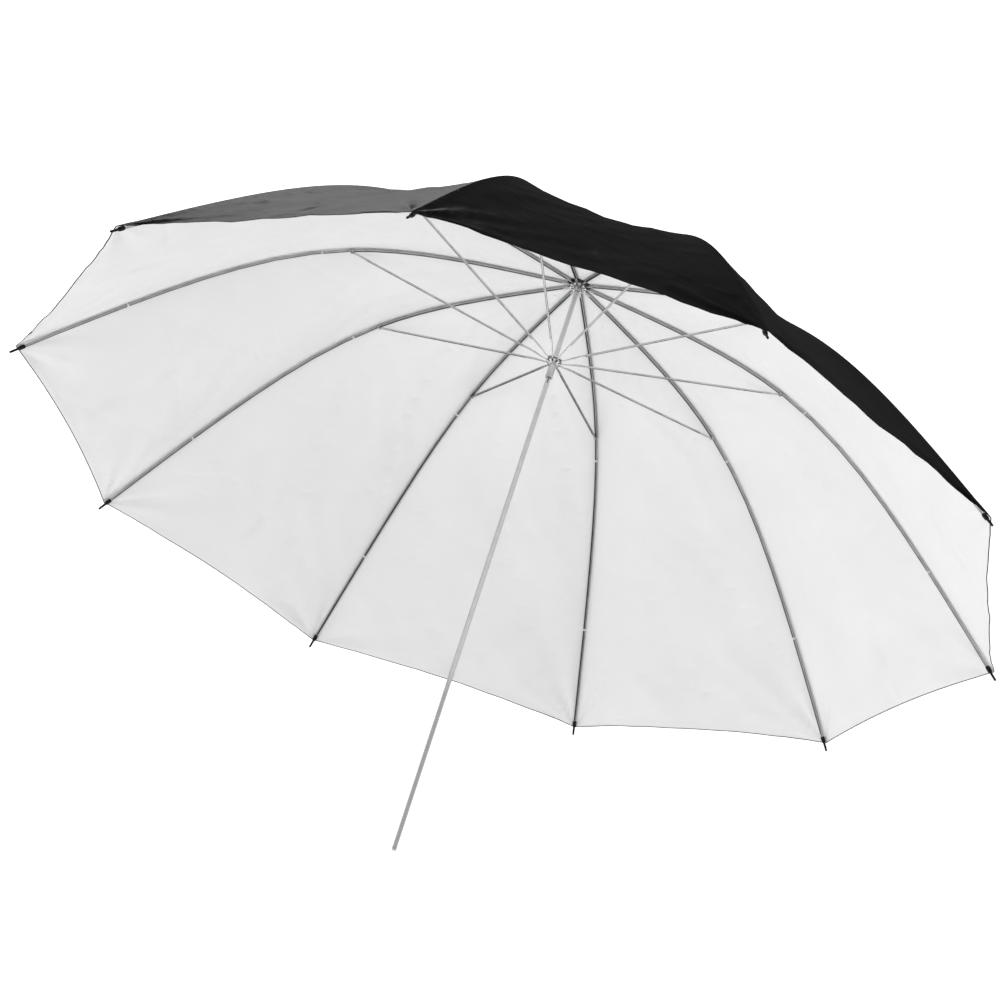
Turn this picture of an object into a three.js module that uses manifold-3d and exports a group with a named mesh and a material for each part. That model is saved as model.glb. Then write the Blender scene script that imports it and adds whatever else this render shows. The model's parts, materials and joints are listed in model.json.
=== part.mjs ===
// A studio umbrella reflector with ten ribs, opened: a black canopy with a white inside, stretched
// over curved steel ribs on a thin steel shaft.
//
// Frame: millimetres, +Z up. The shaft lies along Y. Its free end points to -Y, the white bowl opens
// to -Y, and the origin is on the shaft's axis where a light stand's bracket grips it.
//
// A rib's own group has x outward from the shaft, y along the shaft away from the free end with 0 at
// the pins of the top notch, and z across the rib.

import * as THREE from "three";
import { mergeVertices } from "three/addons/utils/BufferGeometryUtils.js";
import Module from "manifold-3d";

const wasm = await Module();
wasm.setup();

// ---- Driving dimensions ----

const RIBS = 10;
const SPAN_RADIUS = 750; // shaft axis to the outer end of a rib tip
const CANOPY_DEPTH = 405; // notch pins to the rib tips' ends, along the shaft
const SHAFT_LENGTH = 935; // notch pins to the free end
const GRIP_FROM_END = 120; // free end to the bracket's grip, which is the origin
const SHAFT_RADIUS = 3.5;
const GAP = 0.3; // between neighbouring pieces

// The fold: two equal arms, so that the runner stays on the shaft at every angle.
const PIN_RING_RADIUS = 10; // shaft axis to the pins of the top notch and of the runner
const ARM = 334; // notch pin to rivet, and rivet to runner pin
const RUNNER_DROP = 135.6; // notch pins to runner pins when open
const CLOSED_ANGLE = THREE.MathUtils.degToRad(87.8); // stretcher from square to the shaft, closed

// The rib's curve: a cubic Bezier set by its two end slopes and handle lengths.
const RIB_HUB_SLOPE = THREE.MathUtils.degToRad(6.7);
const RIB_HUB_HANDLE = 352;
const RIB_TIP_SLOPE = THREE.MathUtils.degToRad(45.9);
const RIB_TIP_HANDLE = 487;

// Steel sections
const RIB_WIDTH = 3.8; // inner rib, from the top notch past the rivet
const OUTER_RIB_WIDTH = 3.0; // outer rib, from there to the tip
const RIB_DEPTH = 3.4;
const SPLIT_PAST_RIVET = 5.5; // where the rib's springy outer part starts, past the rivet
const SHEET = 0.5; // wall of the rib's channel
const RIB_STEPS = 9;
const HUB_BLADE = 2.0; // flattened rib end in the top notch
const STRETCHER_WIDTH = 2.8;
const STRETCHER_DEPTH = 2.4;
const STRETCHER_BLADE = 1.8;
const HOOK_LENGTH = 30; // stretcher's flat inner end, as far as its folded sides
const EYE_RADIUS = 2.2;
const EAR_RADIUS = 2.4;
const WIRE_RADIUS = 0.6;
const WIRE_GROOVE = WIRE_RADIUS + GAP;
const RIVET_RADIUS = 0.8;
const SPIGOT_RADIUS = 1.1; // rib's closed end, inside the tip
const SPIGOT_DEPTH = 8;

// Canopy
const FABRIC = 1.2; // stand-in thickness of the cloth
const FABRIC_OVER_RIB = 3.9; // rib's centre line to the cloth's inner face
const FABRIC_OVER_TIP = 4.8;
const GORE_SAG = 14; // how far the cloth dips between two ribs
const HEM_SCALLOP = 10; // how far the hem curves in between two tips
const CANOPY_HOLE_RADIUS = 18;
const TIP_OVERHANG = 12; // rib tip's end past the cloth's corner

const TIP_LENGTH = 24;
const HUB_Y = SHAFT_LENGTH - GRIP_FROM_END;
const PITCH = (2 * Math.PI) / RIBS;

// ---- Materials ----

function steel(color, roughness) {
  return new THREE.MeshStandardMaterial({ color, roughness, metalness: 1 });
}

const shaftSteel = steel(0xc8c9cc, 0.25);
const ribSteel = steel(0xaeb0b4, 0.32);
const stretcherSteel = steel(0xb8babd, 0.3);
const castMetal = steel(0x9fa1a5, 0.42);
const wireSteel = steel(0x8f9196, 0.4);
const blackPlastic = new THREE.MeshStandardMaterial({ color: 0x141415, roughness: 0.5, metalness: 0 });
const blackCloth = new THREE.MeshStandardMaterial({ color: 0x17171a, roughness: 0.8, metalness: 0 });

// ---- Solids ----

// A closed three.js geometry as a solid that can be cut and joined.
function solid(geometry) {
  const plain = geometry.index ? geometry.toNonIndexed() : geometry.clone();
  plain.deleteAttribute("normal");
  plain.deleteAttribute("uv");
  const merged = mergeVertices(plain, 1e-4);
  return new wasm.Manifold(
    new wasm.Mesh({
      numProp: 3,
      vertProperties: new Float32Array(merged.attributes.position.array),
      triVerts: new Uint32Array(merged.index.array),
    }),
  );
}

// A solid back as a three.js geometry.
function geometryOf(made) {
  const mesh = made.getMesh();
  const geometry = new THREE.BufferGeometry();
  geometry.setAttribute("position", new THREE.BufferAttribute(new Float32Array(mesh.vertProperties), 3));
  geometry.setIndex(new THREE.BufferAttribute(new Uint32Array(mesh.triVerts), 1));
  return geometry.toNonIndexed();
}

const joined = (first, ...others) => others.reduce((all, one) => all.add(one), first);

const without = (first, ...cuts) => cuts.reduce((all, cut) => all.subtract(cut), first);

function named(name, geometry, material) {
  const mesh = new THREE.Mesh(geometry, material);
  mesh.name = name;
  return mesh;
}

// A flat outline in x and y, as a plate of a thickness centred on middle along z.
function plate(shape, thickness, middle = 0) {
  const geometry = new THREE.ExtrudeGeometry(shape, { depth: thickness, bevelEnabled: false });
  return geometry.translate(0, 0, middle - thickness / 2);
}

function polygon(points) {
  return new THREE.Shape(points.map(([x, y]) => new THREE.Vector2(x, y)));
}

// A body turned around the y axis from [radius, y] points.
function turned(points, segments) {
  return new THREE.LatheGeometry(
    points.map(([x, y]) => new THREE.Vector2(x, y)),
    segments,
  );
}

// A ring turned around the y axis: its outline of [radius, y] points closes on itself.
const ring = (points, segments) => turned([...points, points[0]], segments);

function box(x0, x1, y0, y1, z0, z1) {
  const geometry = new THREE.BoxGeometry(x1 - x0, y1 - y0, z1 - z0);
  return geometry.translate((x0 + x1) / 2, (y0 + y1) / 2, (z0 + z1) / 2);
}

// A round bar across the rib at a point, along z.
function crossBar(at, radius, length, middle = 0, segments = 10) {
  const bar = new THREE.CylinderGeometry(radius, radius, length, segments);
  return bar.rotateX(Math.PI / 2).translate(at.x, at.y, middle);
}

// ---- The frame's geometry in a rib's plane ----

const openAngle = Math.asin(RUNNER_DROP / (2 * ARM));
const hubPin = new THREE.Vector2(PIN_RING_RADIUS, 0);
const runnerPin = new THREE.Vector2(PIN_RING_RADIUS, -RUNNER_DROP);
const rivetPoint = new THREE.Vector2(PIN_RING_RADIUS + ARM * Math.cos(openAngle), -RUNNER_DROP / 2);
const tipEnd = new THREE.Vector2(SPAN_RADIUS, -CANOPY_DEPTH);

const along = (slope, length) => new THREE.Vector2(length * Math.cos(slope), -length * Math.sin(slope));

const ribCurve = new THREE.CubicBezierCurve(
  hubPin,
  hubPin.clone().add(along(RIB_HUB_SLOPE, RIB_HUB_HANDLE)),
  tipEnd.clone().sub(along(RIB_TIP_SLOPE, RIB_TIP_HANDLE)),
  tipEnd,
);
const ribLength = ribCurve.getLength();
const splitLength = lengthAtRadius(rivetPoint.x) + SPLIT_PAST_RIVET;

// The point at a length along the rib, moved out from its centre line, away from the bowl's inside.
function ribPoint(length, outward = 0) {
  const share = length / ribLength;
  const tangent = ribCurve.getTangentAt(share);
  return ribCurve.getPointAt(share).add(new THREE.Vector2(-tangent.y, tangent.x).multiplyScalar(outward));
}

// How far along the rib a distance from the shaft's axis is reached.
function lengthAtRadius(radius) {
  let length = 0;
  while (ribPoint(length).x < radius) length += 0.5;
  return length;
}

// The side view of a strip that follows the rib from one length to another, between two offsets.
function ribStrip(from, to, low, high, steps = RIB_STEPS) {
  const stations = Array.from({ length: steps + 1 }, (_, i) => from + ((to - from) * i) / steps);
  const lower = stations.map((s) => ribPoint(s, low));
  const upper = stations.map((s) => ribPoint(s, high)).reverse();
  return new THREE.Shape([...lower, ...upper]);
}

// ---- Ribs ----

// A channel bent up from sheet, open towards the inside of the bowl, along one stretch of the rib.
function channel(from, to, width) {
  const half = RIB_DEPTH / 2;
  const cheek = (width - SHEET) / 2; // middle of a side wall
  const web = solid(plate(ribStrip(from, to, half - SHEET, half), width));
  const walls = [-cheek, cheek].map((z) => solid(plate(ribStrip(from, to, -half, half), SHEET, z)));
  return joined(web, ...walls);
}

// From the top notch to just past the rivet: a flat blade with an eye, then a channel with two ears.
function innerRibGeometry() {
  const channelStart = 7;
  const bladeEnd = 16;
  const half = RIB_DEPTH / 2;
  const cheek = (RIB_WIDTH - SHEET) / 2;
  const ears = [-cheek, cheek].map((z) => solid(crossBar(rivetPoint, EAR_RADIUS, SHEET, z)));
  const blade = solid(plate(ribStrip(0, bladeEnd, -half + 0.1, half - 0.1, 2), HUB_BLADE));
  const eye = solid(crossBar(hubPin, EYE_RADIUS, HUB_BLADE));
  const wireHole = solid(crossBar(hubPin, WIRE_GROOVE, RIB_WIDTH));
  const rivetHole = solid(crossBar(rivetPoint, RIVET_RADIUS + GAP, 2 * RIB_WIDTH));
  const body = joined(channel(channelStart, splitLength - GAP, RIB_WIDTH), ...ears, blade, eye);
  return geometryOf(without(body, wireHole, rivetHole));
}

// From there to the tip: a narrower channel whose end is closed up round to enter the tip.
function outerRibGeometry() {
  const channelEnd = ribLength - TIP_LENGTH - 2 * GAP;
  const body = channel(splitLength + GAP, channelEnd, OUTER_RIB_WIDTH);
  return geometryOf(joined(body, solid(spigotGeometry())));
}

// The rib's outer end, closed up round to enter the tip.
function spigotGeometry() {
  const inRib = 3;
  const length = SPIGOT_DEPTH + inRib;
  const spigot = new THREE.CylinderGeometry(SPIGOT_RADIUS, SPIGOT_RADIUS, length, 10);
  return intoTipFrame(spigot.translate(0, length / 2 - inRib, 0));
}

// Moves a body drawn along +y from a tip's inner end to its place on the rib.
function intoTipFrame(geometry) {
  const start = tipEnd.clone().sub(along(RIB_TIP_SLOPE, TIP_LENGTH));
  return geometry.rotateZ(-Math.PI / 2 - RIB_TIP_SLOPE).translate(start.x, start.y, 0);
}

// The plastic tip: a socket over the rib's end and a thin peg that the canopy's corner hooks behind.
function tipGeometry() {
  const bore = SPIGOT_RADIUS + GAP;
  const boreDepth = SPIGOT_DEPTH + 1;
  const peg = 1.7;
  const profile = [
    [0, boreDepth],
    [bore, boreDepth],
    [bore, 0],
    [2.8, 0],
    [3.2, 1.5],
    [3.2, 8.5],
    [peg + 0.2, 11],
    [peg, TIP_LENGTH - 0.7],
    [peg - 0.5, TIP_LENGTH],
    [0, TIP_LENGTH],
  ];
  return intoTipFrame(turned(profile, 10));
}

// ---- Stretchers ----

// The rivet, fixed in the stretcher's outer end, that turns in the rib's two ears.
function rivetGeometry() {
  const head = 0.7;
  const headRadius = 1.6;
  const grip = RIB_WIDTH / 2 + GAP;
  const profile = [
    [0, -grip - head],
    [headRadius, -grip - head],
    [headRadius, -grip],
    [RIVET_RADIUS, -grip],
    [RIVET_RADIUS, grip],
    [headRadius, grip],
    [headRadius, grip + head],
    [0, grip + head],
  ];
  return turned(profile, 10).rotateX(Math.PI / 2).translate(ARM, 0, 0);
}

// A flat steel arm with folded sides, an open hook at its inner end and the rivet at its outer end. It
// is drawn along x, with the runner's wire at the origin.
function stretcherGeometry() {
  const rivetEnd = 14;
  const groovePast = 12; // from the sides' ends to the groove's ends
  const half = STRETCHER_DEPTH / 2;
  const folded = STRETCHER_WIDTH / 2;
  const foldEnd = ARM - rivetEnd;
  const grooveHalf = folded - SHEET;
  const arm = solid(box(0, ARM, -half, half, -STRETCHER_BLADE / 2, STRETCHER_BLADE / 2));
  const hook = solid(plate(hookOutline(half), STRETCHER_BLADE));
  const sides = solid(box(HOOK_LENGTH, foldEnd, -half, half, -folded, folded));
  const grooveFrom = HOOK_LENGTH + groovePast;
  const groove = solid(box(grooveFrom, foldEnd - groovePast, -half - 1, -SHEET, -grooveHalf, grooveHalf));
  const ends = [0, ARM].map((x) => new THREE.Vector2(x, 0));
  const eyes = ends.map((at) => solid(crossBar(at, EYE_RADIUS, STRETCHER_BLADE)));
  const wireHole = solid(crossBar(ends[0], WIRE_GROOVE, STRETCHER_WIDTH * 2));
  const whole = joined(arm, hook, sides, ...eyes, solid(rivetGeometry()));
  const body = without(whole, groove, wireHole, solid(plate(wireWayOut(), STRETCHER_WIDTH * 2)));
  return geometryOf(body).rotateZ(openAngle).translate(runnerPin.x, runnerPin.y, 0);
}

// The flat inner end, as deep as its eye at the wire and as deep as the arm where its sides start.
function hookOutline(half) {
  return polygon([
    [0, -EYE_RADIUS],
    [HOOK_LENGTH, -half],
    [HOOK_LENGTH, half],
    [0, EYE_RADIUS],
  ]);
}

// The wire's way out of the hook. In the fold the runner and the stretchers' inner ends drift apart, so
// the hook is open on the side where the wire leaves it and comes back.
function wireWayOut() {
  const steps = 6;
  const lastPart = 0.06; // share of the fold in which the wire comes back into the hook
  const floor = Array.from({ length: steps + 1 }, (_, i) => {
    const wire = wireAt(1 - (lastPart * i) / steps);
    return [wire.x, wire.y - WIRE_GROOVE];
  });
  const above = 2 * EYE_RADIUS;
  const mouth = [
    [-WIRE_GROOVE, above],
    [-WIRE_GROOVE, 0],
    [0, -WIRE_GROOVE],
  ];
  return polygon([...mouth, ...floor, [floor[steps][0], above]]);
}

// Where the runner's wire is at a share of the fold, seen from the stretcher.
function wireAt(share) {
  const angle = THREE.MathUtils.lerp(openAngle, CLOSED_ANGLE, share);
  const closedDrop = 2 * ARM * Math.sin(CLOSED_ANGLE);
  const drift = 2 * ARM * Math.sin(angle) - THREE.MathUtils.lerp(RUNNER_DROP, closedDrop, share);
  return new THREE.Vector2(drift * Math.sin(angle), drift * Math.cos(angle));
}

// ---- Canopy ----

// One panel of the canopy, from the middle of one gore over a rib to the middle of the next gore. Each
// gore runs straight from rib to rib and dips inwards between them, and its hem curves in.
function panelGeometry() {
  const across = 4;
  const lengthwise = 14;
  const start = lengthAtRadius(CANOPY_HOLE_RADIUS);
  const end = ribLength - TIP_OVERHANG;
  const geometry = new THREE.BoxGeometry(2, 1, 1, across, lengthwise, 1);
  const position = geometry.attributes.position;
  for (let i = 0; i < position.count; i += 1) {
    const side = position.getX(i);
    const share = Math.abs(side);
    const dip = 2 * share - share * share; // 0 on the rib, 1 halfway to the next
    const length = THREE.MathUtils.lerp(start, end - HEM_SCALLOP * dip, position.getY(i) + 0.5);
    const fullness = Math.sin((Math.PI * length) / ribLength) ** 0.8;
    const overTip = THREE.MathUtils.smoothstep(length, end - 45, end - 15);
    const clear = THREE.MathUtils.lerp(FABRIC_OVER_RIB, FABRIC_OVER_TIP, overTip);
    const outward = clear + FABRIC * (position.getZ(i) + 0.5) - GORE_SAG * dip * fullness;
    const spine = ribPoint(length, outward);
    const chordShare = share / 2; // share of the way to the next rib
    const x = spine.x * (1 - chordShare + chordShare * Math.cos(PITCH));
    const z = spine.x * chordShare * Math.sin(PITCH);
    position.setXYZ(i, x, spine.y, Math.sign(side) * (z - (share === 1 ? GAP : 0)));
  }
  return turnedOut(geometry);
}

// The same geometry with its faces turned round if they point inwards.
function turnedOut(geometry) {
  const made = solid(geometry);
  return made.volume() > 0 ? geometry : solidFlipped(geometry);
}

function solidFlipped(geometry) {
  const index = geometry.index.array;
  for (let i = 0; i < index.length; i += 3) [index[i + 1], index[i + 2]] = [index[i + 2], index[i + 1]];
  return geometry;
}

// ---- Top notch and runner ----

const CROWN_OUTER = 13;
const RUNNER_OUTER = 11.5;
const PIN_RADIUS = 0.9; // cross pin through the top notch and the shaft
const BORE = SHAFT_RADIUS + GAP;
const SLOT_FLOOR = PIN_RING_RADIUS - EYE_RADIUS - 0.4;

const wireGeometry = () =>
  new THREE.TorusGeometry(PIN_RING_RADIUS, WIRE_RADIUS, 6, 3 * RIBS).rotateX(Math.PI / 2);

// One slot for a blade at each rib, between two heights.
function slots(width, y0, y1) {
  return Array.from({ length: RIBS }, (_, i) =>
    solid(box(SLOT_FLOOR, CROWN_OUTER + 2, y0, y1, -width / 2, width / 2).rotateY(ribTurn(i))),
  );
}

function topNotchGeometry() {
  const neck = 6.2;
  const body = solid(
    ring(
      [
        [BORE, -10],
        [neck, -10],
        [neck, -4],
        [CROWN_OUTER, -4],
        [CROWN_OUTER, -WIRE_GROOVE],
        [PIN_RING_RADIUS - WIRE_GROOVE, -WIRE_GROOVE],
        [PIN_RING_RADIUS - WIRE_GROOVE, WIRE_GROOVE],
        [CROWN_OUTER, WIRE_GROOVE],
        [CROWN_OUTER, 5],
        [CROWN_OUTER - 1, 6],
        [BORE, 6],
      ],
      30,
    ),
  );
  const pinHole = solid(crossPin(PIN_RADIUS + GAP, 20));
  return geometryOf(without(body, ...slots(HUB_BLADE + 2 * GAP, -5, EYE_RADIUS + 0.4), pinHole));
}

// The pin that holds the top notch on the shaft, through its neck.
function crossPin(radius, length) {
  const neckMiddle = -7;
  const pin = new THREE.CylinderGeometry(radius, radius, length, 12);
  return pin.rotateX(Math.PI / 2).translate(0, neckMiddle, 0);
}

const SLEEVE_LENGTH = 30; // runner pins to the sleeve's lower edge
const SLEEVE_RADIUS = 5.2;

function runnerGeometry() {
  const bead = 5.9;
  const body = solid(
    ring(
      [
        [BORE, -SLEEVE_LENGTH],
        [bead, -SLEEVE_LENGTH],
        [bead, -SLEEVE_LENGTH + 2.5],
        [SLEEVE_RADIUS, -SLEEVE_LENGTH + 3.5],
        [SLEEVE_RADIUS, -6],
        [RUNNER_OUTER, -4],
        [RUNNER_OUTER, -WIRE_GROOVE],
        [PIN_RING_RADIUS - WIRE_GROOVE, -WIRE_GROOVE],
        [PIN_RING_RADIUS - WIRE_GROOVE, WIRE_GROOVE],
        [RUNNER_OUTER, WIRE_GROOVE],
        [RUNNER_OUTER, 4],
        [BORE, 4],
      ],
      30,
    ),
  );
  return geometryOf(without(body, ...slots(STRETCHER_BLADE + 2 * GAP, -7, 5)));
}

// ---- Shaft, its ends and its catch ----

const CATCH_TOP = -(RUNNER_DROP + SLEEVE_LENGTH + 0.4);
const CATCH_WIDTH = 1.8;
const CATCH_RAMP = 9;
const SHAFT_BORE = 2.7;
const SHAFT_TOP = 18;
const PLUG_HEAD = 3;

function shaftGeometry() {
  const low = -SHAFT_LENGTH + PLUG_HEAD + GAP;
  const tube = solid(
    ring(
      [
        [SHAFT_BORE, low],
        [SHAFT_RADIUS, low],
        [SHAFT_RADIUS, SHAFT_TOP],
        [SHAFT_BORE, SHAFT_TOP],
      ],
      24,
    ),
  );
  const half = CATCH_WIDTH / 2 + GAP;
  const windowLow = CATCH_TOP - CATCH_RAMP - GAP;
  const catchWindow = solid(box(1, 6, windowLow, CATCH_TOP + GAP, -half, half).rotateY(UPWARD));
  return geometryOf(without(tube, catchWindow, solid(crossPin(PIN_RADIUS + GAP, 20))));
}

function plugGeometry() {
  const stem = SHAFT_BORE - GAP;
  const end = -SHAFT_LENGTH;
  const profile = [
    [0, end],
    [SHAFT_RADIUS - 0.6, end],
    [SHAFT_RADIUS, end + 0.8],
    [SHAFT_RADIUS, end + PLUG_HEAD],
    [stem, end + PLUG_HEAD],
    [stem, end + PLUG_HEAD + 12],
    [0, end + PLUG_HEAD + 12],
  ];
  return turned(profile, 24);
}

// The sprung catch: a ledge under the runner's sleeve, a ramp below it and a leaf inside the tube. When
// it is pressed in by 2.2 mm, the runner clears it.
function catchGeometry() {
  const leafBack = 0.2;
  const leafFront = 0.8;
  const leafLow = CATCH_TOP - 30;
  const rampFoot = 3.3;
  const nose = 5.6;
  const outline = polygon([
    [leafBack, CATCH_TOP],
    [leafBack, leafLow],
    [leafFront, leafLow],
    [leafFront, CATCH_TOP - CATCH_RAMP],
    [rampFoot, CATCH_TOP - CATCH_RAMP + 1],
    [nose, CATCH_TOP - 1.2],
    [nose, CATCH_TOP],
  ]);
  return plate(outline, CATCH_WIDTH);
}

// The washer and the domed cap that hold the canopy's middle down on the top notch.
function washerGeometry() {
  return ring(
    [
      [BORE, 6.3],
      [14, 6.3],
      [25, 5.0],
      [26, 5.5],
      [25, 6.0],
      [14, 7.4],
      [BORE, 7.4],
    ],
    30,
  );
}

function capGeometry() {
  const rim = 9;
  const base = 7.7;
  const neck = 6.5;
  const domeBase = 16;
  const boreTop = SHAFT_TOP + 1;
  const dome = Array.from({ length: 5 }, (_, i) => {
    const turn = (i * Math.PI) / 8;
    return [neck * Math.cos(turn), domeBase + 8 * Math.sin(turn)];
  });
  dome[dome.length - 1][0] = 0;
  const bore = [
    [0, boreTop],
    [BORE, boreTop],
    [BORE, base],
  ];
  const flange = [
    [rim, base],
    [rim, base + 3],
    [neck, base + 5],
  ];
  return turned([...bore, ...flange, ...dome], 24);
}

// ---- Assembly ----

// A rib's group turned so that its x axis points outwards. The first rib is half a gore from +Z.
function ribTurn(i) {
  return PITCH * (i + 0.5) - Math.PI / 2;
}
const UPWARD = -Math.PI / 2; // turns x to +Z

function twoDigits(i) {
  return String(i + 1).padStart(2, "0");
}

const umbrella = new THREE.Group();
const hub = new THREE.Group();
hub.position.y = HUB_Y;
umbrella.add(hub);

hub.add(named("shaft_tube", shaftGeometry(), shaftSteel));
hub.add(named("shaft_end_plug", plugGeometry(), castMetal));
hub.add(named("top_notch", topNotchGeometry(), castMetal));
hub.add(named("top_notch_wire", wireGeometry(), wireSteel));
hub.add(named("top_notch_pin", crossPin(PIN_RADIUS, 12), wireSteel));
hub.add(named("crown_washer", washerGeometry(), blackCloth));
hub.add(named("crown_cap", capGeometry(), blackPlastic));

const catchSpring = named("catch_spring", catchGeometry(), wireSteel);
catchSpring.rotation.y = UPWARD;
hub.add(catchSpring);

const runner = new THREE.Group();
runner.position.y = -RUNNER_DROP;
runner.add(named("runner", runnerGeometry(), castMetal));
runner.add(named("runner_wire", wireGeometry(), wireSteel));
hub.add(runner);

const pieces = [
  ["rib_inner", innerRibGeometry(), ribSteel],
  ["rib_outer", outerRibGeometry(), ribSteel],
  ["rib_tip", tipGeometry(), blackPlastic],
  ["stretcher", stretcherGeometry(), stretcherSteel],
  ["canopy_panel", panelGeometry(), blackCloth],
];
for (let i = 0; i < RIBS; i += 1) {
  const rib = new THREE.Group();
  rib.rotation.y = ribTurn(i);
  for (const [name, geometry, material] of pieces) {
    rib.add(named(`${name}_${twoDigits(i)}`, geometry, material));
  }
  hub.add(rib);
}

export default umbrella;
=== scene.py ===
"""The looks of a studio umbrella reflector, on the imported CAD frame.

Metres, in the frame's own axes: the shaft lies along Y with its free end towards -Y, and +Z is up.
"""

import json
import math

import bpy
import numpy as np
from mathutils import Matrix, Vector

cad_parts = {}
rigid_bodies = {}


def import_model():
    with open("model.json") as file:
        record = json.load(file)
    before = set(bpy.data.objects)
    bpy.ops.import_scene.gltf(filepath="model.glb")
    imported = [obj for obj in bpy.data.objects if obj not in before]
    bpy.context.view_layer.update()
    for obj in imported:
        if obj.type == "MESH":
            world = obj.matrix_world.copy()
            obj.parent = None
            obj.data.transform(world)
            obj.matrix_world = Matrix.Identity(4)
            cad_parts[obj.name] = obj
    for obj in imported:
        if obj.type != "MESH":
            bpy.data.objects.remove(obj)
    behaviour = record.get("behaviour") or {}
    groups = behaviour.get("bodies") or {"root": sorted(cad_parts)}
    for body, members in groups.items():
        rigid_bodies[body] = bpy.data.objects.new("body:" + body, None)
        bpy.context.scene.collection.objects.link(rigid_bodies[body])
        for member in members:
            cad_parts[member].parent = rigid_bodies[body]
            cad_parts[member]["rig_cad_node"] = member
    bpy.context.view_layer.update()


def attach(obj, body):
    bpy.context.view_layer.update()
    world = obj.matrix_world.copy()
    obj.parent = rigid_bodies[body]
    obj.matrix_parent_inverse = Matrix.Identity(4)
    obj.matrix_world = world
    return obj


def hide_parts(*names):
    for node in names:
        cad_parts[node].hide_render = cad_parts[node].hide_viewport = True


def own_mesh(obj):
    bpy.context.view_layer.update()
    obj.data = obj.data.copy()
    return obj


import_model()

# ---- The frame's geometry, as the CAD has it ----

MM = 0.001
RIBS = 10
PITCH = 2 * math.pi / RIBS
HUB_Y = 0.815
PIN_RING = 10 * MM  # shaft axis to the rib's pivot
SPAN = 750 * MM  # shaft axis to the end of a rib
DEPTH = 405 * MM  # along the shaft, from a rib's pivot to its end
HUB_SLOPE = math.radians(6.7)  # a rib's curve: its slope and its handle's length at either end
HUB_HANDLE = 352 * MM
TIP_SLOPE = math.radians(45.9)
TIP_HANDLE = 487 * MM
RIVET_RADIUS_OUT = 337.05 * MM  # shaft axis to rivet
SPLIT_PAST_RIVET = 5.5 * MM
TIP_OVERHANG = 12 * MM  # the hem at a rib stops this far short of the rib's end
HEM_SCALLOP = 10 * MM  # how far the hem curves in between two ribs
GORE_SAG = 14 * MM
HOLE_RADIUS = 18 * MM  # of the canopy's hole at the crown

# ---- The cloth ----

CLOTH = 0.5 * MM
OVER_RIB = 4.2 * MM  # rib's centre line to the cloth's inner face
OVER_TIP = 5.0 * MM  # the same near a rib's end, where the cloth has to clear the tip
TIP_RISE = (57 * MM, 27 * MM)  # from OVER_RIB to OVER_TIP, measured back from the rib's end
HEM_WIDTH = 9 * MM
HEM_EDGE = 1.9 * MM  # black cloth that shows past the white at the hem
SEAM_WIDTH = 5 * MM
DOUBLED = 0.35 * MM  # how much thicker the cloth is at hem and seam
DOUBLED_EDGE = 1.5 * MM
LAP = 10 * MM  # how far the inner cloth laps over the outer cloth at the rib's joint
LAP_GAP = 0.3 * MM
LAP_RISE = 1.5 * MM

# Wrinkles: height, length along the cloth, and how far they reach from where they start.
PUCKER, PUCKER_LENGTH, PUCKER_REACH = 0.45 * MM, 19 * MM, 10 * MM  # at the seams
FAN, FAN_REACH, FAN_START, FAN_OFF_SEAM = 3.2 * MM, 95 * MM, 60 * MM, 14 * MM  # at the tips
RIPPLE, RIPPLE_LENGTHS, RIPPLE_REACH = 0.45 * MM, (37 * MM, 23 * MM), 24 * MM  # at the hem
PULL, PULL_LENGTHS, DRIFT_LENGTH = 1.1 * MM, (310 * MM, 140 * MM), 230 * MM  # over a whole gore
FOLD, FOLD_WIDTH, FOLD_OFF_SEAM = 0.7 * MM, 7 * MM, 40 * MM
FOLD_LINES = ((0.5, 170), (-0.9, 240), (2.2, 330))  # tilt across the gore, and spacing in mm

GORE_PHASES = np.random.default_rng(11).uniform(0, 2 * math.pi, (RIBS, 4))


def rib_table(samples=4000):
    """Length, place and direction along a rib's centre line, in the rib's own plane."""
    start = np.array([PIN_RING, 0.0])
    end = np.array([SPAN, -DEPTH])
    first = start + HUB_HANDLE * np.array([math.cos(HUB_SLOPE), -math.sin(HUB_SLOPE)])
    second = end - TIP_HANDLE * np.array([math.cos(TIP_SLOPE), -math.sin(TIP_SLOPE)])
    t = np.linspace(0, 1, samples)[:, None]
    place = (1 - t) ** 3 * start + 3 * (1 - t) ** 2 * t * first
    place = place + 3 * (1 - t) * t**2 * second + t**3 * end
    step = np.gradient(place, axis=0)
    direction = step / np.linalg.norm(step, axis=1)[:, None]
    length = np.concatenate([[0], np.cumsum(np.linalg.norm(np.diff(place, axis=0), axis=1))])
    return length, place, direction


RIB_LENGTHS, RIB_PLACES, RIB_DIRECTIONS = rib_table()
RIB_LENGTH = RIB_LENGTHS[-1]


def rib_point(length, outward=0.0):
    """Distance from the shaft's axis and place along it, for points along a rib, moved out from it."""
    radius, along = (np.interp(length, RIB_LENGTHS, RIB_PLACES[:, i]) for i in (0, 1))
    dx, dy = (np.interp(length, RIB_LENGTHS, RIB_DIRECTIONS[:, i]) for i in (0, 1))
    return radius - dy * outward, along + dx * outward


def length_at_radius(radius):
    return float(np.interp(radius, RIB_PLACES[:, 0], RIB_LENGTHS))


SPLIT = length_at_radius(RIVET_RADIUS_OUT) + SPLIT_PAST_RIVET
HALF_WIDTH_AT_SPLIT = RIVET_RADIUS_OUT * math.sin(PITCH / 2)
HALF_WIDTH_AT_HEM = SPAN * math.sin(PITCH / 2)


def rib_angle(i):
    """A rib's angle round the shaft, from +X towards +Z.

    The first rib is half a gore from +Z, and each next one is a whole gore nearer +X.
    """
    return math.pi / 2 - PITCH * (i + 0.5)


def rib_plane_point(length, outward, sideways):
    """A point near a rib, in the rib's own frame."""
    radius, along = rib_point(length, outward)
    return Vector((float(radius), float(along), sideways))


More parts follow.
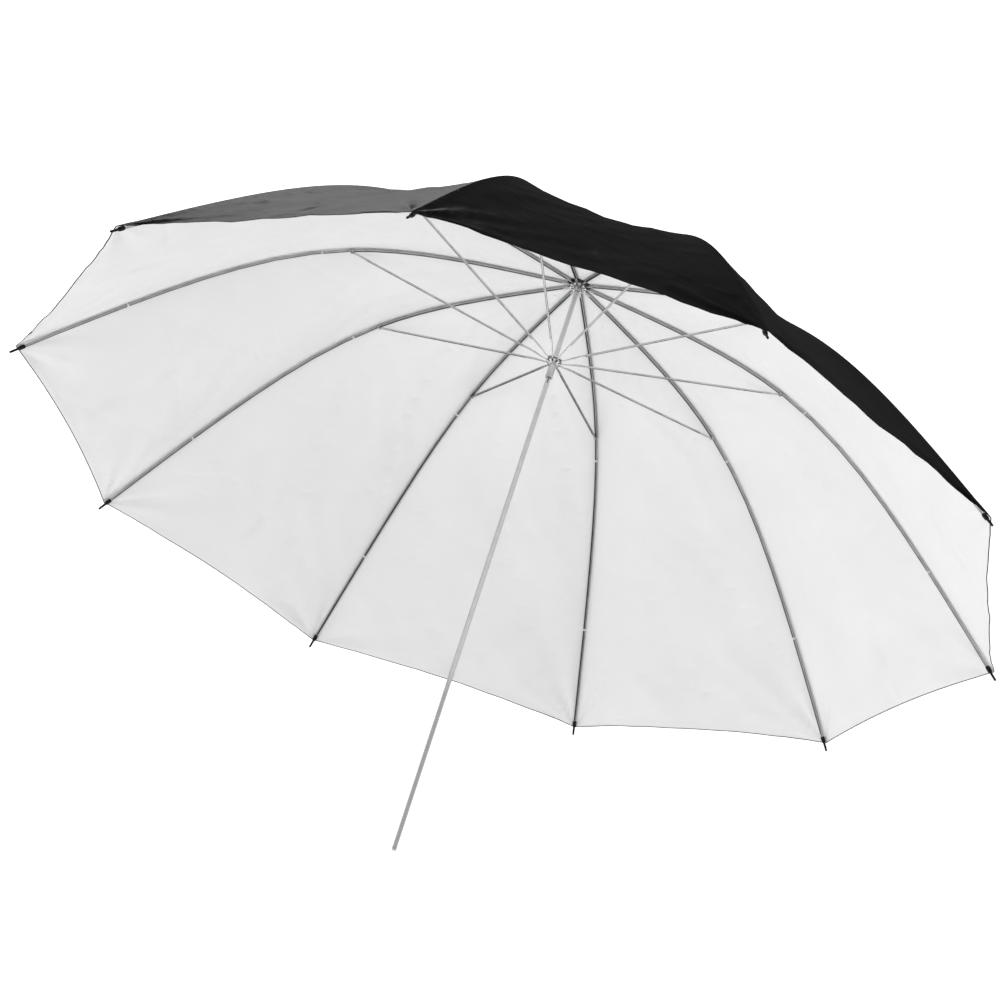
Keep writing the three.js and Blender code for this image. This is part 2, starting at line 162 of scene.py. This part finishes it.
def rib_matrix(i):
    """From a rib's own frame (x outward, y along the shaft, z across) to the row's."""
    return Matrix.Translation((0, HUB_Y, 0)) @ Matrix.Rotation(-rib_angle(i), 4, "Y")


def smooth(low, high, x):
    """0 up to low, 1 from high on, and an even S curve between them."""
    t = np.clip((x - low) / (high - low), 0, 1)
    return t * t * (3 - 2 * t)


# ---- Mesh and material helpers ----


def new_object(name, vertices, faces, materials, face_slots=None, uvs=None):
    mesh = bpy.data.meshes.new(name)
    mesh.from_pydata([tuple(v) for v in vertices], [], faces)
    for m in materials:
        mesh.materials.append(m)
    if face_slots is not None:
        mesh.polygons.foreach_set("material_index", face_slots)
    if uvs is not None:
        layer = mesh.uv_layers.new(name="cut")
        corner = np.array([loop.vertex_index for loop in mesh.loops])
        layer.data.foreach_set("uv", np.asarray(uvs)[corner].ravel())
    mesh.polygons.foreach_set("use_smooth", [True] * len(mesh.polygons))
    mesh.update()
    obj = bpy.data.objects.new(name, mesh)
    bpy.context.scene.collection.objects.link(obj)
    return obj


def tube(points, radius, sides):
    """Vertices and faces of a round tube along a closed loop of points."""
    count = len(points)
    vertices, faces = [], []
    side = Vector((0.3, 0.2, 0.9)).normalized()  # turned square to the loop at each point
    for i, p in enumerate(points):
        direction = (points[(i + 1) % count] - points[i - 1]).normalized()
        side = (side - direction * side.dot(direction)).normalized()
        other = direction.cross(side)
        for j in range(sides):
            a = 2 * math.pi * j / sides
            vertices.append(p + radius * (math.cos(a) * side + math.sin(a) * other))
    for i in range(count):
        for j in range(sides):
            k = (j + 1) % sides
            n = (i + 1) % count
            faces.append((i * sides + j, i * sides + k, n * sides + k, n * sides + j))
    return vertices, faces


class Nodes:
    """A material's node tree with its Principled shader, and short ways to add to it."""

    def __init__(self, name, colour, roughness, metallic=0.0):
        self.material = bpy.data.materials.new(name)
        self.material.use_nodes = True
        self.tree = self.material.node_tree
        self.shader = self.tree.nodes["Principled BSDF"]
        self.set(Metallic=metallic, Roughness=roughness)
        self.shader.inputs["Base Color"].default_value = (*colour, 1)

    def set(self, **values):
        for key, value in values.items():
            self.shader.inputs[key.replace("_", " ")].default_value = value

    def add(self, kind, **settings):
        node = self.tree.nodes.new(kind)
        for key, value in settings.items():
            if key in node.inputs:
                node.inputs[key].default_value = value
            else:
                setattr(node, key, value)
        return node

    def link(self, source, target):
        self.tree.links.new(source, target)

    def coordinates(self, kind="Object", scale=(1, 1, 1)):
        source = self.add("ShaderNodeTexCoord")
        mapping = self.add("ShaderNodeMapping")
        mapping.inputs["Scale"].default_value = scale
        self.link(source.outputs[kind], mapping.inputs["Vector"])
        return mapping.outputs["Vector"]

    def noise(self, vector, scale, detail=4.0):
        node = self.add("ShaderNodeTexNoise", Scale=scale, Detail=detail)
        self.link(vector, node.inputs["Vector"])
        return node.outputs["Fac"]

    def wave(self, vector, scale, direction):
        node = self.add("ShaderNodeTexWave", Scale=scale, bands_direction=direction)
        self.link(vector, node.inputs["Vector"])
        return node.outputs["Fac"]

    def height_product(self, a, b):
        node = self.add("ShaderNodeMath", operation="MULTIPLY")
        self.link(a, node.inputs[0])
        self.link(b, node.inputs[1])
        return node.outputs[0]

    def ramp(self, factor, low, high, start=0.3, end=0.7):
        node = self.add("ShaderNodeValToRGB")
        stops = node.color_ramp.elements
        stops[0].position, stops[1].position = start, end
        stops[0].color, stops[1].color = (*low, 1), (*high, 1)
        self.link(factor, node.inputs["Fac"])
        return node.outputs["Color"]

    def colour_product(self, a, b):
        node = self.add("ShaderNodeVectorMath", operation="MULTIPLY")
        self.link(a, node.inputs[0])
        self.link(b, node.inputs[1])
        return node.outputs["Vector"]

    def colour(self, socket):
        self.link(socket, self.shader.inputs["Base Color"])

    def roughness(self, factor, low, high):
        node = self.add("ShaderNodeMapRange")
        node.inputs["To Min"].default_value = low
        node.inputs["To Max"].default_value = high
        self.link(factor, node.inputs["Value"])
        self.link(node.outputs["Result"], self.shader.inputs["Roughness"])

    def bump(self, height, distance, strength=1.0, under=None):
        node = self.add("ShaderNodeBump", Strength=strength, Distance=distance)
        self.link(height, node.inputs["Height"])
        if under is not None:
            self.link(under, node.inputs["Normal"])
        self.link(node.outputs["Normal"], self.shader.inputs["Normal"])
        return node.outputs["Normal"]


def grey(value, tint=(1, 1, 1)):
    return tuple(value * t for t in tint)


WAVE_RADIANS = 20  # a wave texture has 20 radians to a unit of scale
THREADS_PER_METRE = 1500


def weave(nodes, threads_per_metre):
    """A plain weave's height, over the cut's own coordinates."""
    cut = nodes.coordinates("UV")
    per_band = threads_per_metre / WAVE_RADIANS
    warp = nodes.wave(cut, per_band * 2 * math.pi, "X")
    weft = nodes.wave(cut, per_band * 2 * math.pi, "Y")
    return nodes.height_product(warp, weft)


def white_cloth():
    """White coated nylon: an even matt white, with faint creases left from folding."""
    nodes = Nodes("white_cloth", grey(0.8), 0.62)
    nodes.set(Sheen_Weight=0.15, Sheen_Roughness=0.5, Specular_IOR_Level=0.35)
    place = nodes.coordinates()
    darker, lighter = grey(0.80, (1, 1, 1.004)), grey(0.835, (1, 1, 1.002))
    nodes.colour(nodes.ramp(nodes.noise(place, 9.0), darker, lighter))
    nodes.roughness(nodes.noise(place, 30.0), 0.55, 0.7)
    creases = nodes.bump(nodes.noise(nodes.coordinates("UV", (14, 5, 1)), 1.6, 6.0), 1.2 * MM, 0.35)
    nodes.bump(weave(nodes, THREADS_PER_METRE), 0.05 * MM, 0.25, under=creases)
    return nodes.material


def black_cloth():
    """Black nylon with a faint gloss, and the small creases that it keeps from its bag."""
    nodes = Nodes("black_cloth", grey(0.006), 0.34)
    nodes.set(Specular_IOR_Level=0.0, Coat_Weight=0.046, Coat_Roughness=0.38)
    place = nodes.coordinates()
    nodes.colour(nodes.ramp(nodes.noise(place, 12.0), grey(0.0042), grey(0.0075, (1, 1, 1.06))))
    nodes.roughness(nodes.noise(place, 25.0), 0.3, 0.44)
    creases = nodes.bump(nodes.noise(nodes.coordinates("UV", (18, 7, 1)), 2.2, 8.0), 3.5 * MM, 0.8)
    surface = nodes.bump(weave(nodes, THREADS_PER_METRE), 0.06 * MM, 0.3, under=creases)
    nodes.link(surface, nodes.shader.inputs["Coat Normal"])
    return nodes.material


GROOVE = 3 * MM  # how near its own walls a place has to be to get painted shade
STEEL_TINT = (1, 1, 1.01)
DRAWN_ALONG_Y = (40, 900, 40)


def plated_steel(name, value, low, high, brush=DRAWN_ALONG_Y, painted_groove_shade=0.3, wear=0.2):
    """Plated steel, roughness from low to high: brushed, worn patches, painted shade in grooves."""
    tint = STEEL_TINT
    nodes = Nodes(name, grey(value, tint), low, 1.0)
    nodes.set(Specular_Tint=(*grey(0.3), 1))
    place = nodes.coordinates()
    patches = nodes.noise(place, 60.0, 6.0)
    plating = nodes.ramp(patches, grey(value * (1 - wear), tint), grey(value * (1 + wear / 3), tint))
    # Painted shade: ambient occlusion darkens the colour in grooves and where parts meet.
    openness = nodes.add("ShaderNodeAmbientOcclusion", Distance=GROOVE)
    shade = nodes.ramp(openness.outputs["AO"], grey(painted_groove_shade), grey(1), 0.35, 0.9)
    nodes.colour(nodes.colour_product(plating, shade))
    nodes.roughness(patches, low, high)
    nodes.bump(nodes.noise(nodes.coordinates("Object", brush), 8.0, 2.0), 0.04 * MM, 0.35)
    return nodes.material


def black_plastic():
    """Moulded black plastic with a fine texture, a little paler where it rubs."""
    nodes = Nodes("black_plastic", grey(0.006), 0.45)
    nodes.set(Specular_IOR_Level=0.12)
    place = nodes.coordinates()
    nodes.colour(nodes.ramp(nodes.noise(place, 180.0), grey(0.004), grey(0.011)))
    nodes.roughness(nodes.noise(place, 90.0), 0.38, 0.55)
    nodes.bump(nodes.noise(place, 1500.0, 2.0), 0.05 * MM, 0.4)
    return nodes.material


def white_thread():
    """White sewing thread, twisted."""
    nodes = Nodes("white_thread", grey(0.85), 0.7)
    nodes.set(Sheen_Weight=0.2)
    place = nodes.coordinates()
    nodes.colour(nodes.ramp(nodes.noise(place, 400.0), grey(0.78), grey(0.9)))
    nodes.bump(nodes.wave(place, 900.0, "DIAGONAL"), 0.1 * MM, 0.5)
    return nodes.material


WHITE = white_cloth()
BLACK = black_cloth()
SHAFT_STEEL = plated_steel("shaft_steel", 0.66, 0.1, 0.16, brush=(300, 8, 300), wear=0.08)
RIB_STEEL = plated_steel("rib_steel", 0.5, 0.24, 0.38, painted_groove_shade=0.12)
STRETCHER_STEEL = plated_steel("stretcher_steel", 0.62, 0.22, 0.34)
CAST_METAL = plated_steel("cast_metal", 0.66, 0.3, 0.45, brush=(60, 60, 60))
WIRE_STEEL = plated_steel("wire_steel", 0.3, 0.3, 0.45)
PLASTIC = black_plastic()
THREAD = white_thread()


# ---- The canopy ----


# Places across half a gore, from its rib (0) to its middle (0.5), closer together near the rib.
NEAR_RIB = [0, 0.004, 0.008, 0.013, 0.02, 0.03, 0.045, 0.065, 0.09]
HALF_GORE = NEAR_RIB + [0.12, 0.155, 0.195, 0.24, 0.29, 0.34, 0.39, 0.445, 0.5]


def across_steps(side):
    """Places across a gore's first half (side 0) or its second half (side 1), from rib to rib."""
    return np.array(HALF_GORE if side == 0 else [1 - x for x in reversed(HALF_GORE)])


def wrinkles(gore, across, length, to_seam, to_hem):
    """How far the cloth stands out from its smooth shape.

    across is 0 at the gore's first rib and 1 at its second. The other three are distances: along
    the rib, from the nearer seam and from the hem.
    """
    phase = GORE_PHASES[gore]
    second = GORE_PHASES[(gore + 1) % RIBS]
    near = np.where(across < 0.5, phase[0], second[0])
    seam = PUCKER * np.sin(2 * math.pi * length / PUCKER_LENGTH + near)
    seam = seam * np.exp(-to_seam / PUCKER_REACH) * smooth(0, 4 * MM, to_seam)
    reach = np.hypot(to_seam, to_hem)
    angle = np.arctan2(to_seam, to_hem + 1e-6)
    fan = np.sin(7 * angle + near) + 0.6 * np.sin(12 * angle + 2 * near)
    fan = FAN * fan * np.exp(-reach / FAN_REACH) * smooth(0, FAN_START, reach)
    fan = fan * smooth(0, FAN_OFF_SEAM, to_seam)
    width = across * 2 * HALF_WIDTH_AT_HEM
    long_ripple, short_ripple = (2 * math.pi * width / n for n in RIPPLE_LENGTHS)
    ripple = np.sin(long_ripple + phase[1]) + 0.7 * np.sin(short_ripple + phase[2])
    hem = RIPPLE * ripple * np.exp(-to_hem / RIPPLE_REACH) * smooth(0, 30 * MM, to_seam)
    drift = 0.35 * np.sin(2 * math.pi * length / DRIFT_LENGTH + phase[0])
    long_pull, short_pull = (length / n for n in PULL_LENGTHS)
    pull = np.sin(2 * math.pi * (across * 2.1 + long_pull) + phase[3])
    pull = pull + 0.5 * np.sin(2 * math.pi * (across * 5.3 + short_pull + drift) + phase[1])
    pull = PULL * pull * smooth(0, 60 * MM, to_seam)
    return seam + fan + hem + pull + creases_left_by_folding(across, length, to_seam, phase)


def creases_left_by_folding(across, length, to_seam, phase):
    """Sharp low ridges across and along a gore, where it was folded into its bag."""
    out = 0
    for k, (tilt, spacing) in enumerate(FOLD_LINES):
        line = length / (spacing * MM) + tilt * across + phase[k] / (2 * math.pi)
        off = np.abs((line % 1) - 0.5) * spacing * MM
        out = out + FOLD * np.exp(-off / FOLD_WIDTH)
    return out * smooth(0, FOLD_OFF_SEAM, to_seam)


def gore_points(gore, across, length, end, lift, face):
    """Points of one gore, where end is the hem's length along the rib and lift moves them outwards.

    face is 0 for the inner, white side and 1 for the outer, black side.
    """
    share = 2 * np.minimum(across, 1 - across)
    dip = 2 * share - share**2
    to_hem = end - length
    radius = rib_point(length)[0]
    to_seam = share * radius * math.sin(PITCH / 2)
    fullness = np.sin(np.clip(math.pi * length / RIB_LENGTH, 0, math.pi)) ** 0.8
    at_tip = smooth(RIB_LENGTH - TIP_RISE[0], RIB_LENGTH - TIP_RISE[1], length)
    over = OVER_RIB + (OVER_TIP - OVER_RIB) * at_tip
    smoothed = over + lift - GORE_SAG * dip * fullness
    outward = smoothed + wrinkles(gore, across, length, to_seam, to_hem)
    if face:
        outward = outward + CLOTH
    else:
        at_seam = 1 - smooth(SEAM_WIDTH, SEAM_WIDTH + DOUBLED_EDGE, to_seam)
        at_hem = 1 - smooth(HEM_WIDTH, HEM_WIDTH + DOUBLED_EDGE, to_hem)
        outward = outward - DOUBLED * np.maximum(at_seam, at_hem)
    radius, along = rib_point(length, outward)
    first, second = rib_angle(gore), rib_angle(gore + 1)
    x = radius * ((1 - across) * math.cos(first) + across * math.cos(second))
    z = radius * ((1 - across) * math.sin(first) + across * math.sin(second))
    return np.stack([x, HUB_Y + along, z], axis=-1)


def gore_end(across):
    """The hem's length along the rib: shorter towards the middle of the gore."""
    share = 2 * np.minimum(across, 1 - across)
    return RIB_LENGTH - TIP_OVERHANG - HEM_SCALLOP * (2 * share - share**2)


def gore_normals(gore, across, length, end, lift, face):
    """The cloth's normals, from the surface itself, so that pieces that meet are shaded as one."""

    def at(columns, rows):
        return gore_points(gore, columns, rows, end, lift, face)

    step_across, step_along = 0.002, 0.5 * MM
    before, after = np.clip(across - step_across, 0, 1), np.clip(across + step_across, 0, 1)
    sideways = at(after, length) - at(before, length)
    lengthways = at(across, length + step_along) - at(across, length - step_along)
    normal = np.cross(sideways, lengthways)
    normal = normal / np.maximum(np.linalg.norm(normal, axis=-1), 1e-12)[..., None]
    return normal if face else -normal


def cloth_piece(name, gore, side, lengths, lift):
    """A closed thin sheet over half a gore.

    lengths(across) gives the rows' lengths along the rib, and lift(lengths) how far they are raised.
    The sheet is black outside, along the hem inside, and on its far edge. The rest is white.
    """
    across = across_steps(side)
    rows = lengths(across[:, None])
    columns = np.broadcast_to(across[:, None], rows.shape)
    end = gore_end(columns)
    rise = lift(rows)
    faces_of = [gore_points(gore, columns, rows, end, rise, face) for face in (0, 1)]
    n, m = rows.shape
    vertices = np.concatenate([f.reshape(-1, 3) for f in faces_of])
    width = (columns - 0.5) * 2 * rib_point(rows)[0] * math.sin(PITCH / 2)
    flat = np.stack([width, rows], axis=-1).reshape(-1, 2)
    quads, slots = [], []

    def at(i, j, face):
        return face * n * m + i * m + j

    for i in range(n - 1):
        for j in range(m - 1):
            quads.append((at(i, j, 0), at(i + 1, j, 0), at(i + 1, j + 1, 0), at(i, j + 1, 0)))
            at_edge = end[i, j] - 0.5 * (rows[i, j] + rows[i, j + 1]) < HEM_EDGE
            slots.append(1 if at_edge else 0)
            quads.append((at(i, j, 1), at(i, j + 1, 1), at(i + 1, j + 1, 1), at(i + 1, j, 1)))
            slots.append(1)
    border = [(i, 0) for i in range(n)] + [(n - 1, j) for j in range(1, m)]
    border += [(i, m - 1) for i in range(n - 2, -1, -1)] + [(0, j) for j in range(m - 2, 0, -1)]
    for (i, j), (p, q) in zip(border, border[1:] + border[:1]):
        quads.append((at(i, j, 1), at(p, q, 1), at(p, q, 0), at(i, j, 0)))
        slots.append(1 if j == q == m - 1 else 0)
    both_flats = np.concatenate([flat, flat])
    obj = new_object(name, vertices, quads, [WHITE, BLACK], slots, both_flats)
    normals = [gore_normals(gore, columns, rows, end, rise, face).reshape(-1, 3) for face in (0, 1)]
    outwards = 1 if obj.data.polygons[1].normal.dot(Vector(normals[1][0])) > 0 else -1
    obj.data.normals_split_custom_set_from_vertices(outwards * np.concatenate(normals))
    return obj


def inner_rows(across):
    """Rows from the crown's hole to the rib's joint, and a lap's length past it."""
    body = np.linspace(length_at_radius(HOLE_RADIUS), SPLIT, 46)
    steps = np.concatenate([body, [SPLIT + LAP_RISE, SPLIT + LAP / 2, SPLIT + LAP]])
    return np.broadcast_to(steps, (len(across), len(steps)))


def outer_rows(across):
    """Rows from the rib's joint to the hem, closer together near the hem."""
    end = gore_end(across)
    near_hem = np.array([0, 1.3, 3.5, 8.5, 10.5, 14, 19, 25, 32, 40, 49]) * MM
    body = np.linspace(0, 1, 68)[:-1]
    rows = SPLIT + body * (end - near_hem[-1] - 7 * MM - SPLIT)
    return np.concatenate([rows, end - near_hem[::-1]], axis=1)


def raised_lap(rows):
    """The inner cloth is raised past the joint, to lie on the outer cloth."""
    return (CLOTH + LAP_GAP) * smooth(SPLIT, SPLIT + LAP_RISE, rows)


def half_gore(rib, towards):
    """The cloth beside one rib, on one side: an inner and an outer piece, parted at the joint."""
    gore, side = (rib, 0) if towards > 0 else ((rib - 1) % RIBS, 1)
    label = f"{rib + 1:02d}"
    half = "ab"[side]
    hole = length_at_radius(HOLE_RADIUS)
    hem = RIB_LENGTH - TIP_OVERHANG
    inner = cloth_piece(f"canopy_inner_{label}_{half}", gore, side, inner_rows, raised_lap)
    outer = cloth_piece(f"canopy_outer_{label}_{half}", gore, side, outer_rows, np.zeros_like)
    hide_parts(f"canopy_panel_{label}")
    hole_width = HOLE_RADIUS * math.sin(PITCH / 2)
    for piece, body, first, last, narrow, wide in (
        (inner, f"rib_inner_{label}", hole, SPLIT, hole_width, HALF_WIDTH_AT_SPLIT),
        (outer, f"rib_outer_{label}", SPLIT, hem, HALF_WIDTH_AT_SPLIT, HALF_WIDTH_AT_HEM),
    ):
        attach(piece, body)
        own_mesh(piece)


def make_canopy():
    for rib in range(RIBS):
        for towards in (1, -1):
            half_gore(rib, towards)


# ---- Small pieces ----

TIE_RADII = (380 * MM, 618 * MM)  # shaft axis to each of a rib's two ties
TIE_HALF_WIDTH = 2.1 * MM
TIE_MIDDLE, TIE_HALF_HEIGHT = 1.0 * MM, 3.1 * MM
TIE_TURNS, TIE_STEPS, TIE_PITCH = 4, 16, 0.75 * MM
THREAD_RADIUS = 0.34 * MM


def tie_turn(middle, turn):
    """One turn of thread round a rib's channel, as a loop with rounded corners."""
    loop = []
    for step in range(TIE_STEPS):
        a = 2 * math.pi * step / TIE_STEPS
        shape = 1 / max(abs(math.cos(a)), abs(math.sin(a))) ** 0.6
        side = TIE_HALF_WIDTH * shape * math.cos(a)
        out = TIE_MIDDLE + TIE_HALF_HEIGHT * shape * math.sin(a)
        lean = 0.2 * MM * math.sin(a + turn)
        along = middle + (turn - (TIE_TURNS - 1) / 2) * TIE_PITCH + lean
        loop.append(rib_plane_point(along, out, side))
    return tube(loop, THREAD_RADIUS, 6)


def make_ties():
    """The threads that sew the canopy's seam to each rib: a few turns round the channel."""
    for i in range(RIBS):
        for j, radius in enumerate(TIE_RADII):
            middle = length_at_radius(radius)
            vertices, faces = [], []
            for turn in range(TIE_TURNS):
                v, f = tie_turn(middle, turn)
                base = len(vertices)
                vertices += v
                faces += [tuple(base + k for k in face) for face in f]
            name = f"thread_tie_{i + 1:02d}_{j + 1}"
            turned = [rib_matrix(i) @ v for v in vertices]
            obj = new_object(name, turned, faces, [THREAD])
            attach(obj, f"rib_outer_{i + 1:02d}")


ROSETTE_HOLE, ROSETTE_WIDTH = 4.2, 21.3  # mm, as the rest of the rosette's sizes
ROSETTE_HEIGHT, ROSETTE_DROOP, ROSETTE_HALF_THICKNESS = 6.9, 1.35, 0.35
ROSETTE_RUFFLES, ROSETTE_SMALL_RUFFLES = 20, 33


def rosette_point(share, a, upper):
    """A point of the cloth washer: share runs from its hole to its edge, and a goes round it."""
    radius = (ROSETTE_HOLE + ROSETTE_WIDTH * share) * MM
    ruffle = 0.22 * share * math.sin(ROSETTE_RUFFLES * a)
    ruffle += 0.12 * share * math.sin(ROSETTE_SMALL_RUFFLES * a + 1)
    half = ROSETTE_HALF_THICKNESS if upper else -ROSETTE_HALF_THICKNESS
    height = (ROSETTE_HEIGHT - ROSETTE_DROOP * smooth(0.35, 1, share) + ruffle + half) * MM
    edge = radius + 0.35 * MM * share * math.sin(ROSETTE_RUFFLES * a + 0.5)
    return edge * math.cos(a), HUB_Y + height, edge * math.sin(a)


def make_rosette():
    """The gathered cloth washer between the canopy and the cap."""
    rings, steps = 10, 120
    vertices, faces = [], []
    for upper in (False, True):
        for r in range(rings):
            for s in range(steps):
                vertices.append(rosette_point(r / (rings - 1), 2 * math.pi * s / steps, upper))
    count = rings * steps
    for r in range(rings - 1):
        for s in range(steps):
            n = (s + 1) % steps
            quad = (r * steps + s, r * steps + n, (r + 1) * steps + n, (r + 1) * steps + s)
            faces.append(quad)
            faces.append(tuple(count + k for k in reversed(quad)))
    for r in (0, rings - 1):
        for s in range(steps):
            n = (s + 1) % steps
            edge = (r * steps + s, r * steps + n, count + r * steps + n, count + r * steps + s)
            faces.append(edge if r == 0 else tuple(reversed(edge)))
    uvs = [(v[0], v[2]) for v in vertices]
    obj = new_object("crown_rosette", vertices, faces, [BLACK], None, uvs)
    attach(obj, "shaft")
    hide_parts("crown_washer")


# By how a CAD node's name starts. The first match counts, so longer names come before shorter ones.
CAD_MATERIALS = {
    "shaft_tube": SHAFT_STEEL,
    "shaft_end_plug": CAST_METAL,
    "top_notch_wire": WIRE_STEEL,
    "top_notch_pin": WIRE_STEEL,
    "top_notch": CAST_METAL,
    "crown_cap": PLASTIC,
    "catch_spring": WIRE_STEEL,
    "runner_wire": WIRE_STEEL,
    "runner": CAST_METAL,
    "rib_tip": PLASTIC,
    "rib_": RIB_STEEL,
    "stretcher": STRETCHER_STEEL,
}


def dress_cad():
    """Give each visible CAD node its material."""
    for obj in bpy.data.objects:
        node = obj.get("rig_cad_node")
        if not node:
            continue
        for start, material in CAD_MATERIALS.items():
            if node.startswith(start):
                for s in obj.material_slots:
                    s.material = material
                break


# ---- Camera, floor and lights ----

# The photograph's viewing angle, from fitting the umbrella's tips, rivets, hub and shaft to it.
CAMERA_PLACE = Vector((-0.0369, -1.3686, 3.7091))
CAMERA_RIGHT = Vector((0.94875, 0.28168, 0.14331))
CAMERA_FORWARD = Vector((0.00609, 0.43707, -0.89941))
LENS = 102.6
SENSOR = 36
FLOOR_Z = -1.1
FLOOR_HALF = 30


def make_camera():
    camera = bpy.data.objects.new("camera", bpy.data.cameras.new("camera"))
    bpy.context.scene.collection.objects.link(camera)
    up = CAMERA_RIGHT.cross(CAMERA_FORWARD)
    turn = Matrix((CAMERA_RIGHT, up, -CAMERA_FORWARD)).transposed().to_4x4()
    camera.matrix_world = Matrix.Translation(CAMERA_PLACE) @ turn
    camera.data.lens = LENS
    camera.data.sensor_width = SENSOR
    camera.data.clip_end = 100
    bpy.context.scene.camera = camera


def make_floor():
    """A pale floor that glows a little, less so further from the umbrella."""
    nodes = Nodes("pale_floor", grey(0.8), 0.9)
    from_middle = nodes.add("ShaderNodeVectorMath", operation="LENGTH")
    nodes.link(nodes.coordinates(), from_middle.inputs[0])
    glow = nodes.add("ShaderNodeMapRange", interpolation_type="SMOOTHSTEP")
    nodes.link(from_middle.outputs["Value"], glow.inputs["Value"])
    for key, value in {"From Min": 2.5, "From Max": 8.0, "To Min": 0.75, "To Max": 0.35}.items():
        glow.inputs[key].default_value = value
    nodes.set(Emission_Color=(1, 1, 1, 1))
    nodes.link(glow.outputs["Result"], nodes.shader.inputs["Emission Strength"])
    signs = ((-1, -1), (1, -1), (1, 1), (-1, 1))
    corners = [(x * FLOOR_HALF, y * FLOOR_HALF, FLOOR_Z) for x, y in signs]
    new_object("floor", corners, [(0, 1, 2, 3)], [nodes.material])


def area_light(name, place, target, size, watts):
    data = bpy.data.lights.new(name, "AREA")
    data.shape = "DISK"
    data.size = size
    data.energy = watts
    obj = bpy.data.objects.new(name, data)
    obj.location = place
    obj.rotation_euler = (Vector(target) - Vector(place)).to_track_quat("-Z", "Y").to_euler()
    bpy.context.scene.collection.objects.link(obj)


def make_lights():
    middle = (0, 0.55, 0)
    area_light("key", (-2.3, -2.4, 3.4), middle, 2.6, 70)
    area_light("fill", (2.6, -2.2, 2.2), middle, 3.0, 10)
    area_light("rim", (-0.9, 2.3, -0.95), (-0.42, 0.55, 0.5), 0.9, 60)
    world = bpy.data.worlds.new("studio")
    bpy.context.scene.world = world
    world.use_nodes = True
    background = world.node_tree.nodes["Background"]
    background.inputs["Color"].default_value = (1, 1, 1, 1)
    background.inputs["Strength"].default_value = 0.55


make_canopy()
make_ties()
make_rosette()
dress_cad()
make_camera()
make_floor()
make_lights()
bpy.context.scene.view_settings.view_transform = "Standard"
